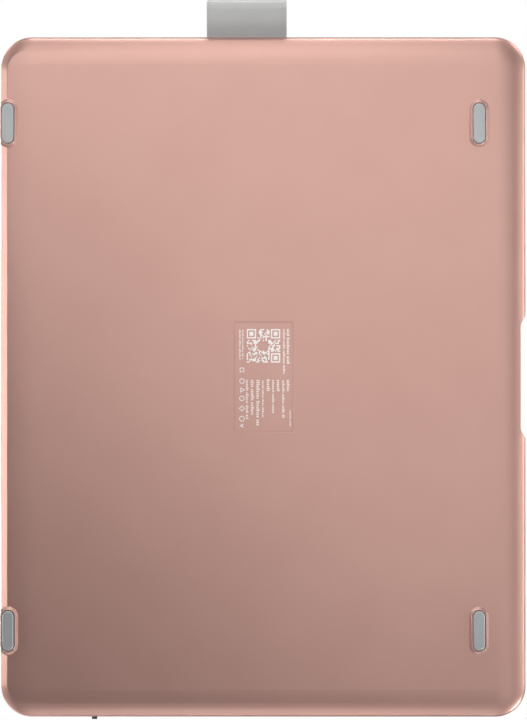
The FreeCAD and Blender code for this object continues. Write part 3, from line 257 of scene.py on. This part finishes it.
def finish(name, dark, light, rough, metallic=0.0, drift=30.0, grain=2500.0, bump=0.00001,
           rough_swing=0.06, stretch=(1, 1, 1), coat=0.0, edge_round=0.0):
    material = bpy.data.materials.new(name)
    material.use_nodes = True
    nodes = material.node_tree.nodes
    skin = nodes["Principled BSDF"]
    skin.inputs["Metallic"].default_value = metallic
    skin.inputs["Coat Weight"].default_value = coat
    skin.inputs["Coat Roughness"].default_value = COAT_ROUGHNESS
    where = nodes.new("ShaderNodeTexCoord")
    turn = nodes.new("ShaderNodeMapping")
    turn.inputs["Scale"].default_value = stretch
    link(material, where.outputs["Object"], turn.inputs["Vector"])
    slow = nodes.new("ShaderNodeTexNoise")
    slow.inputs["Scale"].default_value = drift
    slow.inputs["Detail"].default_value = 3
    link(material, turn.outputs["Vector"], slow.inputs["Vector"])
    tones = nodes.new("ShaderNodeValToRGB")
    tones.color_ramp.elements[0].position = 0.35
    tones.color_ramp.elements[0].color = (*dark, 1)
    tones.color_ramp.elements[1].position = 0.65
    tones.color_ramp.elements[1].color = (*light, 1)
    link(material, slow.outputs["Fac"], tones.inputs["Fac"])
    link(material, tones.outputs["Color"], skin.inputs["Base Color"])
    fine = nodes.new("ShaderNodeTexNoise")
    fine.inputs["Scale"].default_value = grain
    fine.inputs["Detail"].default_value = 2
    link(material, turn.outputs["Vector"], fine.inputs["Vector"])
    gloss = nodes.new("ShaderNodeMapRange")
    gloss.inputs["To Min"].default_value = rough - rough_swing
    gloss.inputs["To Max"].default_value = rough + rough_swing
    link(material, fine.outputs["Fac"], gloss.inputs["Value"])
    link(material, gloss.outputs["Result"], skin.inputs["Roughness"])
    relief = nodes.new("ShaderNodeBump")
    relief.inputs["Strength"].default_value = 0.5
    relief.inputs["Distance"].default_value = bump
    link(material, fine.outputs["Fac"], relief.inputs["Height"])
    if edge_round:
        edges = nodes.new("ShaderNodeBevel")
        edges.samples = 4
        edges.inputs["Radius"].default_value = edge_round
        link(material, edges.outputs["Normal"], relief.inputs["Normal"])
    link(material, relief.outputs["Normal"], skin.inputs["Normal"])
    return material


def paint(material, *nodes):
    """Give CAD parts a finish."""
    for node in nodes:
        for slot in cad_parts[node].material_slots:
            slot.material = material


rose_shell = finish("rose_shell", (0.632, 0.366, 0.312), (0.648, 0.379, 0.323), 0.42,
                    metallic=0.7, coat=0.25, edge_round=0.45 * MM)
paint(rose_shell, "bottom_shell", "deck", "cover_shell")
foot_rubber = finish("foot_rubber", (0.44, 0.455, 0.46), (0.48, 0.495, 0.50), 0.38, metallic=0.25,
                     coat=0.4)
paint(foot_rubber, "foot_front_left", "foot_front_right", "foot_rear_left", "foot_rear_right")
label_film = finish("label_film", (0.63, 0.368, 0.315), (0.66, 0.39, 0.335), 0.42, metallic=0.7,
                    coat=0.2)
paint(label_film, "label")
loop_rubber = finish("loop_rubber", (0.50, 0.50, 0.495), (0.55, 0.55, 0.545), 0.38, coat=0.3)
paint(loop_rubber, "pencil_loop")
print("finishes so far:", len(bpy.data.materials))

# %% [markdown]
# ## Finishes inside the case
#
# Each inner part gets the finish of its own material: satin white keys and trackpad, milky
# films, brushed steel for plates and hinges, green boards, foil-wrapped cells and amber
# ribbons. Metal that was rolled or drawn has its grain stretched along one direction.

# %% Keys, trackpad and films
KEY_NODES = (
    "function_row_keys", "number_row_keys", "delete_key", "tab_key", "upper_letter_keys",
    "caps_lock_key", "home_row_keys", "return_key", "left_shift_key", "lower_letter_keys",
    "right_shift_key", "left_modifier_keys", "space_bar", "right_modifier_keys",
    "left_arrow_key", "up_arrow_key", "down_arrow_key", "right_arrow_key",
)
white_keys = finish("white_keys", (0.78, 0.77, 0.75), (0.83, 0.82, 0.80), 0.46, drift=60,
                    grain=5000, bump=0.00002)
paint(white_keys, *KEY_NODES)
rose_pad = finish("rose_pad", (0.66, 0.43, 0.38), (0.69, 0.455, 0.405), 0.36, metallic=0.3,
                  drift=22, grain=6000, bump=0.000005)
paint(rose_pad, "trackpad")
dome_silicone = finish("dome_silicone", (0.62, 0.64, 0.64), (0.70, 0.72, 0.72), 0.55, drift=50)
paint(dome_silicone, "dome_sheet")
milky_film = finish("milky_film", (0.80, 0.82, 0.84), (0.86, 0.88, 0.90), 0.3, drift=25)
paint(milky_film, "backlight_sheet", "status_light_pipes")
print("keys painted:", len(KEY_NODES))

# %% [markdown]
# The parts under the deck and in the hinges come next, from the plate that carries the keys to
# the screws and bumpers.

# %% Steel, boards, cells and small parts
brushed_steel = finish("brushed_steel", (0.50, 0.50, 0.51), (0.60, 0.60, 0.61), 0.34,
                       metallic=1.0, drift=40, grain=900, stretch=(0.08, 1, 1))
paint(brushed_steel, "key_support_plate", "charging_socket", "loop_rod")
hinge_steel = finish("hinge_steel", (0.34, 0.33, 0.33), (0.42, 0.41, 0.41), 0.3, metallic=1.0,
                     drift=80, grain=1500, stretch=(0.15, 1, 1))
paint(hinge_steel, "base_hinge_bracket_left", "base_hinge_bracket_right",
      "lid_hinge_bracket_left", "lid_hinge_bracket_right", "hinge_link_left",
      "hinge_link_right", "lower_hinge_pin_left", "lower_hinge_pin_right",
      "upper_hinge_pin_left", "upper_hinge_pin_right", "friction_washers")
screw_steel = finish("screw_steel", (0.20, 0.20, 0.21), (0.27, 0.27, 0.28), 0.38, metallic=1.0,
                     drift=300, grain=4000)
paint(screw_steel, "case_screws", "base_hinge_screws", "lid_hinge_screws")
magnet_nickel = finish("magnet_nickel", (0.58, 0.56, 0.53), (0.66, 0.64, 0.61), 0.24,
                       metallic=1.0, drift=200)
paint(magnet_nickel, "base_magnets")
board_green = finish("board_green", (0.015, 0.10, 0.045), (0.03, 0.16, 0.075), 0.4, drift=220,
                     grain=1200, bump=0.00003)
paint(board_green, "main_board", "trackpad_board")
cell_foil = finish("cell_foil", (0.42, 0.43, 0.45), (0.52, 0.53, 0.55), 0.35, metallic=0.8,
                   drift=35, grain=350, bump=0.00008)
paint(cell_foil, "battery_cell_left", "battery_cell_right")
amber_ribbon = finish("amber_ribbon", (0.42, 0.17, 0.03), (0.52, 0.23, 0.05), 0.3, drift=90,
                      stretch=(1, 0.1, 1))
paint(amber_ribbon, "ribbon_cables")
grey_plastic = finish("grey_plastic", (0.085, 0.085, 0.09), (0.12, 0.12, 0.125), 0.45,
                      drift=400, grain=6000, bump=0.00002)
paint(grey_plastic, "power_switch_body", "power_switch_knob")
bumper_rubber = finish("bumper_rubber", (0.12, 0.12, 0.12), (0.16, 0.16, 0.16), 0.6, drift=300)
paint(bumper_rubber, "lid_bumpers")
print("finishes:", len(bpy.data.materials))

# %% [markdown]
# ## Pencil loop
#
# The loop is one band of soft moulded rubber. It leaves a slot in the side of the case, goes
# round a stylus and comes back to the same slot. A flat strip with a Solidify modifier would
# do for the band, but its two ends have to close on each other in a thin neck. So the outside
# is made as the convex hull of a cylinder and a narrow neck block, which gives the drop shape
# at once. Cuts across it mark where the raised edge ribs go, the ribs are extruded along the
# surface, and a second, smaller drop cuts out the eye.

# %% Drop shape for the loop
loop_low, loop_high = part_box("pencil_loop")
rod_low, rod_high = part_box("loop_rod")
EYE_SIDES = 96
NECK_THICK = 0.05 * MM
NECK_HALF = 0.55 * MM
RIB_ALLOWANCE = 0.1 * MM
eye_radius = (loop_high.z - loop_low.z) / 2
loop_width = loop_high.y - loop_low.y
eye = Vector((loop_low.x + eye_radius, (loop_low.y + loop_high.y) / 2, loop_low.z + eye_radius))
neck = Vector((case_low.x - 0.15 * MM, eye.y, (rod_low.z + rod_high.z) / 2))


def only(*chosen):
    """Select these objects and nothing else; the first one becomes active."""
    if bpy.context.object and bpy.context.object.mode != "OBJECT":
        bpy.ops.object.mode_set(mode="OBJECT")
    bpy.ops.object.select_all(action="DESELECT")
    for piece in chosen:
        piece.select_set(True)
    bpy.context.view_layer.objects.active = chosen[0]


def settle(piece, name):
    """Name a new piece and move its place into its mesh."""
    only(piece)
    bpy.ops.object.transform_apply(location=True, rotation=True, scale=True)
    piece.name = name
    piece.data.name = name
    return piece


def drop_prism(name, radius, neck_x, neck_half, width):
    """Solid with the outline of a drop: a cylinder that narrows to a neck."""
    bpy.ops.mesh.primitive_cylinder_add(vertices=EYE_SIDES, radius=radius, depth=width,
                                        location=eye, rotation=(math.pi / 2, 0, 0))
    round_part = bpy.context.object
    bpy.ops.mesh.primitive_cube_add(size=1, location=(neck_x, eye.y, neck.z),
                                    scale=(NECK_THICK, width, 2 * neck_half))
    neck_block = bpy.context.object
    only(round_part, neck_block)
    bpy.ops.object.join()
    bpy.ops.object.mode_set(mode="EDIT")
    bpy.ops.mesh.select_all(action="SELECT")
    bpy.ops.mesh.convex_hull()
    bpy.ops.mesh.select_all(action="SELECT")
    bpy.ops.mesh.normals_make_consistent(inside=False)
    bpy.ops.object.mode_set(mode="OBJECT")
    return settle(round_part, name)


strap = drop_prism("pencil_strap", eye_radius - RIB_ALLOWANCE, neck.x, NECK_HALF, loop_width)
print("loop width in mm:", round(loop_width / MM, 1), "faces:", len(strap.data.polygons))

# %% [markdown]
# The ribs run round the loop near its two ends. Each is a pair of cuts, and the faces between
# them are pushed out by a tenth of a millimetre.

# %% Ribs round the loop
RIBS = ((0.0, 0.9, 0.10), (1.5, 1.8, 0.07), (2.4, 2.7, 0.07))
REAR_RIB = (0.0, 0.9, 0.10)


def cut_across(piece, y):
    only(piece)
    bpy.ops.object.mode_set(mode="EDIT")
    bpy.ops.mesh.select_all(action="SELECT")
    bpy.ops.mesh.bisect(plane_co=(0, y, 0), plane_no=(0, 1, 0))
    bpy.ops.object.mode_set(mode="OBJECT")


def pick_faces(piece, test):
    """Leave the piece in edit mode with the faces selected that pass the test."""
    only(piece)
    bpy.ops.object.mode_set(mode="EDIT")
    bpy.ops.mesh.select_mode(type="FACE")
    bpy.ops.mesh.select_all(action="DESELECT")
    bpy.ops.object.mode_set(mode="OBJECT")
    for face in piece.data.polygons:
        face.select = test(face.center, face.normal)
    bpy.ops.object.mode_set(mode="EDIT")


def raise_rib(piece, y0, y1, height):
    low, high = min(y0, y1), max(y0, y1)
    for y in (low, high):
        if loop_low.y + 0.01 * MM < y < loop_high.y - 0.01 * MM:
            cut_across(piece, y)
    pick_faces(piece, lambda at, normal: low < at.y < high and abs(normal.y) < 0.5)
    bpy.ops.mesh.extrude_region_shrink_fatten(TRANSFORM_OT_shrink_fatten={"value": height})
    bpy.ops.object.mode_set(mode="OBJECT")


for start, end, height in RIBS:
    raise_rib(strap, loop_low.y + start * MM, loop_low.y + end * MM, height * MM)
start, end, height = REAR_RIB
raise_rib(strap, loop_high.y - end * MM, loop_high.y - start * MM, height * MM)
print("faces with ribs:", len(strap.data.polygons))

# %% [markdown]
# The eye is cut out with a Boolean, a flat tail is added that goes into the case, and a small
# bevel softens every edge, as on a moulded part.

# %% Eye, tail and soft edges
EYE_WALL = 1.0 * MM
TAIL_SIZE = (3.5 * MM, loop_width - 0.1 * MM, 1.04 * MM)
STRAP_EDGE = 0.12 * MM


def combine(piece, tool, operation):
    """Boolean of two closed pieces, applied; the tool is used up."""
    only(piece)
    step = piece.modifiers.new(operation.lower(), "BOOLEAN")
    step.operation = operation
    step.solver = "EXACT"
    step.object = tool
    bpy.ops.object.modifier_apply(modifier=step.name)
    bpy.data.objects.remove(tool)


def soften(piece, width, segments=2, angle=40):
    """Bevel the sharp edges and smooth the rest."""
    only(piece)
    step = piece.modifiers.new("soft_edges", "BEVEL")
    step.width = width
    step.segments = segments
    step.limit_method = "ANGLE"
    step.angle_limit = math.radians(angle)
    bpy.ops.object.modifier_apply(modifier=step.name)
    bpy.ops.object.shade_smooth_by_angle(angle=math.radians(35))


eye_hole = drop_prism("eye_hole", eye_radius - EYE_WALL, neck.x - 2 * MM, 0.1 * MM,
                      loop_width * 1.2)
combine(strap, eye_hole, "DIFFERENCE")
bpy.ops.mesh.primitive_cube_add(size=1, location=(case_low.x + 1.0 * MM, eye.y, neck.z),
                                scale=TAIL_SIZE)
tail = settle(bpy.context.object, "strap_tail")
combine(strap, tail, "UNION")
soften(strap, STRAP_EDGE)
strap.data.materials.clear()
strap.data.materials.append(loop_rubber)
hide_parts("pencil_loop")
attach(strap, "base")
print("finished strap faces:", len(strap.data.polygons))

# %% [markdown]
# ## Beads round the feet, a painted highlight
#
# A fine bead of a lighter rose runs round each foot along the rim of its collar. It is a painted
# highlight, standing for the light that the collar's rim catches. It is a circle whose two halves
# are pulled apart to the foot's length and made round with a curve bevel.

# %% Four collar beads with a painted highlight
FEET = ("foot_front_left", "foot_front_right", "foot_rear_left", "foot_rear_right")
BEAD_GAP = 0.48 * MM
BEAD_RADIUS = 0.16 * MM
BEAD_LEVEL = 0.34 * MM
BEAD_SIDES = 32
# Lighter, glossier copy of the shell's rose: painted highlight along the collar rims
bead_painted_highlight = finish("bead_painted_highlight", (0.74, 0.50, 0.45), (0.78, 0.54, 0.49), 0.32, metallic=0.7,
                   coat=0.4)


def make_bead(foot):
    low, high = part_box(foot)
    middle = (low + high) / 2
    reach = (high.x - low.x - high.y + low.y) / 2
    bpy.ops.mesh.primitive_circle_add(vertices=BEAD_SIDES,
                                      radius=(high.y - low.y) / 2 + BEAD_GAP,
                                      rotation=(0, 0, math.pi / BEAD_SIDES))
    bead = settle(bpy.context.object, "bead")
    bpy.ops.object.mode_set(mode="EDIT")
    bpy.ops.mesh.select_mode(type="VERT")
    bpy.ops.mesh.select_all(action="DESELECT")
    bpy.ops.object.mode_set(mode="OBJECT")
    for vertex in bead.data.vertices:
        vertex.select = vertex.co.x > 0
    bpy.ops.object.mode_set(mode="EDIT")
    bpy.ops.transform.translate(value=(reach, 0, 0))
    bpy.ops.mesh.select_all(action="INVERT")
    bpy.ops.transform.translate(value=(-reach, 0, 0))
    bpy.ops.object.mode_set(mode="OBJECT")
    bpy.ops.object.convert(target="CURVE")
    bead.data.bevel_depth = BEAD_RADIUS
    bead.data.bevel_resolution = 2
    bpy.ops.object.convert(target="MESH")
    bead = bpy.context.object
    bead.location = (middle.x, middle.y, BEAD_LEVEL)
    return settle(bead, "bead")


beads = [make_bead(foot) for foot in FEET]
only(*beads)
bpy.ops.object.join()
collar_highlight_beads = beads[0]
collar_highlight_beads.name = "collar_highlight_beads"
collar_highlight_beads.data.name = "collar_highlight_beads"
bpy.ops.object.shade_smooth()
# The beads get the lighter rose of the painted highlight
collar_highlight_beads.data.materials.clear()
collar_highlight_beads.data.materials.append(bead_painted_highlight)
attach(collar_highlight_beads, "base")
print("bead faces:", len(collar_highlight_beads.data.polygons))

# %% [markdown]
# ## Print on the label
#
# The label carries a square code, columns of small print and a row of signs. None of it may
# say anything, so the code is drawn from chance, the print is a row of little bars as long as
# letters, and the signs are plain rings and polygons. Every mark is a copy of one small block
# with a sloping rim, raised two hundredths of a millimetre from the film.

# %% One block of print
label_low, label_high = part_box("label")
PRINT_RAISE = 0.02 * MM
PRINT_ROOT = 0.01 * MM
bpy.ops.mesh.primitive_cube_add(size=1, location=(0, 0, 0))
block = settle(bpy.context.object, "print_block")
pick_faces(block, lambda at, normal: normal.z < -0.5)
bpy.ops.mesh.inset(thickness=0.06, depth=0.0)
bpy.ops.transform.translate(value=(0, 0, -0.3))
bpy.ops.object.mode_set(mode="OBJECT")
print("block faces:", len(block.data.polygons))


def stamp(x, y, length, width):
    """Copy of the block at a place on the label; x and y are millimetres on the case."""
    mark = block.copy()
    mark.data = block.data.copy()
    middle = place(x, y, 0)
    middle.z = label_low.z + (PRINT_ROOT - PRINT_RAISE) / 2
    size = Matrix.Diagonal((length * MM, width * MM, PRINT_RAISE + PRINT_ROOT, 1))
    mark.data.transform(Matrix.Translation(middle) @ size)
    scene.collection.objects.link(mark)
    return mark


def join_marks(marks, name, material):
    only(*marks)
    bpy.ops.object.join()
    piece = marks[0]
    piece.name = name
    piece.data.name = name
    piece.data.materials.clear()
    piece.data.materials.append(material)
    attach(piece, "base")
    print(name, "marks:", len(marks))
    return piece


# %% [markdown]
# The code is a grid of squares. Three of its corners hold the usual square-in-a-square, the
# middle stays empty, and chance fills the rest. Squares that touch in a row are drawn as one
# bar, which keeps the piece light.

# %% Square code
CODE_SIDE = 14.0
CODE_CELLS = 25
CODE_CENTRE = (-13.0, 0.0)
CORNER_CELLS = 7
CODE_FILL = 0.52
chance = random.Random(11)
white_ink = finish("white_ink", (0.92, 0.88, 0.86), (0.98, 0.95, 0.93), 0.42, metallic=0.7)


def corner_mark(row, column):
    """True or False inside one of the three corner marks, None elsewhere."""
    last = CODE_CELLS - CORNER_CELLS
    for top, left in ((0, 0), (0, last), (last, last)):
        down, across = row - top, column - left
        if -1 <= down <= CORNER_CELLS and -1 <= across <= CORNER_CELLS:
            ring = max(abs(down - 3), abs(across - 3))
            return ring in (0, 1, 3)
    return None


def code_cell(row, column):
    drawn = chance.random() < CODE_FILL
    corner = corner_mark(row, column)
    if corner is not None:
        return corner
    middle = CODE_CELLS // 2
    if max(abs(row - middle), abs(column - middle)) <= 3:
        return False
    return drawn


def make_code():
    cell = CODE_SIDE / CODE_CELLS
    marks = []
    for row in range(CODE_CELLS):
        filled = [code_cell(row, column) for column in range(CODE_CELLS)] + [False]
        start = None
        for column, drawn in enumerate(filled):
            if drawn and start is None:
                start = column
            if not drawn and start is not None:
                x = CODE_CENTRE[0] + (row + 0.5 - CODE_CELLS / 2) * cell
                y = CODE_CENTRE[1] - ((start + column) / 2 - CODE_CELLS / 2) * cell
                marks.append(stamp(x, y, cell, (column - start) * cell))
                start = None
    return join_marks(marks, "label_code", white_ink)


make_code()

# %% [markdown]
# The small print runs along the case. Each line is given by its place across the label, its
# start and end, and the height of its letters.

# %% Lines of small print
PRINT_LINES = (
    (9.8, -19.7, -7.1, 0.8), (8.6, -19.7, -7.6, 0.7), (-8.6, -20.0, -1.5, 0.9),
    (-10.3, -20.0, -5.3, 1.2), (6.8, 1.2, 17.6, 1.1), (4.6, 1.2, 15.8, 1.3),
    (2.3, 1.2, 20.6, 1.4), (0.2, 1.4, 17.0, 0.8), (-2.0, 1.0, 6.3, 1.3), (-4.1, 1.2, 15.2, 1.0),
    (-6.2, 1.2, 6.3, 1.3), (-8.3, 1.4, 17.0, 1.0), (-10.3, 1.2, 6.9, 1.2),
    (-11.2, 14.0, 20.6, 0.7),
)
pink_ink = finish("pink_ink", (0.90, 0.78, 0.74), (0.95, 0.85, 0.81), 0.42, metallic=0.7)


def make_lines():
    marks = []
    for y, start, end, height in PRINT_LINES:
        x = start
        left_in_word = chance.randint(4, 9)
        while x < end - 0.3:
            letter = height * chance.uniform(0.35, 0.6)
            tall = height * chance.choice((0.72, 0.72, 1.0))
            marks.append(stamp(x + letter / 2, y + (height - tall) / 2, letter, tall))
            x += letter + 0.18 * height
            left_in_word -= 1
            if left_in_word == 0:
                x += 0.45 * height
                left_in_word = chance.randint(4, 9)
    return join_marks(marks, "label_lines", pink_ink)


make_lines()

# %% [markdown]
# The signs are flat rings with three, four, six or many sides, made by insetting a polygon and
# removing its inside.

# %% Row of signs
SIGN_Y = 9.0
SIGNS = ((-3.0, 4, 1.3, 0.785), (1.7, 32, 1.1, 0.0), (5.4, 3, 1.3, 0.0), (8.9, 32, 1.1, 0.0),
         (13.1, 4, 1.3, 0.0), (17.4, 6, 1.3, 0.0), (20.3, 3, 1.0, 3.14))


def make_sign(x, sides, radius, turn):
    middle = place(x, SIGN_Y, 0)
    middle.z = label_low.z + PRINT_ROOT
    bpy.ops.mesh.primitive_circle_add(vertices=sides, radius=radius * MM, fill_type="NGON",
                                      location=middle, rotation=(math.pi, 0, turn))
    sign = settle(bpy.context.object, "sign")
    pick_faces(sign, lambda at, normal: True)
    bpy.ops.mesh.inset(thickness=0.3 * MM)
    bpy.ops.mesh.delete(type="FACE")
    bpy.ops.object.mode_set(mode="OBJECT")
    step = sign.modifiers.new("raise", "SOLIDIFY")
    step.thickness = PRINT_RAISE + PRINT_ROOT
    step.offset = 1.0
    bpy.ops.object.modifier_apply(modifier=step.name)
    return sign


join_marks([make_sign(*sign) for sign in SIGNS], "label_signs", white_ink)
bpy.data.objects.remove(block)

# %% [markdown]
# ## Microfibre lining
#
# The lid is lined with a thin sheet of microfibre, glued flat against its inside. It is cut to
# the CAD lining's outline with round corners and a window for the camera. Its edge is rounded
# as a cut edge of felted cloth is, and its nap is drawn with a fine, soft pattern.

# %% Lining sheet
lining_low, lining_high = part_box("lining")
LINING_CORNER = 10.4 * MM
WINDOW_SIDE = 34.0 * MM
WINDOW_CORNER = 8.0 * MM
WINDOW_INSET = 5.4 * MM
WINDOW_FRONT = 4.5 * MM
LINING_EDGE = 0.12 * MM
CORNER_STEPS = 10


def round_slab(name, low, high, corner):
    """Flat block with round upright edges."""
    bpy.ops.mesh.primitive_cube_add(size=1, location=(low + high) / 2, scale=high - low)
    slab = settle(bpy.context.object, name)
    bpy.ops.object.mode_set(mode="EDIT")
    bpy.ops.mesh.select_mode(type="EDGE")
    bpy.ops.mesh.select_all(action="DESELECT")
    bpy.ops.object.mode_set(mode="OBJECT")
    for edge in slab.data.edges:
        first, second = (slab.data.vertices[index].co for index in edge.vertices)
        edge.select = abs(first.z - second.z) > 0.5 * (high.z - low.z)
    bpy.ops.object.mode_set(mode="EDIT")
    bpy.ops.mesh.bevel(offset=corner, segments=CORNER_STEPS, affect="EDGES")
    bpy.ops.object.mode_set(mode="OBJECT")
    return slab


def make_lining():
    sheet = round_slab("microfibre_lining", lining_low, lining_high, LINING_CORNER)
    corner = Vector((lining_low.x + WINDOW_INSET, lining_low.y + WINDOW_FRONT, lining_low.z - MM))
    far = Vector((corner.x + WINDOW_SIDE, corner.y + WINDOW_SIDE, lining_high.z + MM))
    window = round_slab("window_cutter", corner, far, WINDOW_CORNER)
    combine(sheet, window, "DIFFERENCE")
    soften(sheet, LINING_EDGE, segments=2, angle=50)
    return sheet


lining_sheet = make_lining()
lining_fabric = finish("lining_fabric", (0.30, 0.29, 0.285), (0.33, 0.32, 0.315), 0.9, drift=300,
                       grain=3500, bump=0.0001)
sheen = lining_fabric.node_tree.nodes["Principled BSDF"]
sheen.inputs["Sheen Weight"].default_value = 0.4
sheen.inputs["Sheen Roughness"].default_value = 0.5
lining_sheet.data.materials.clear()
lining_sheet.data.materials.append(lining_fabric)
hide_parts("lining")
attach(lining_sheet, "lid")
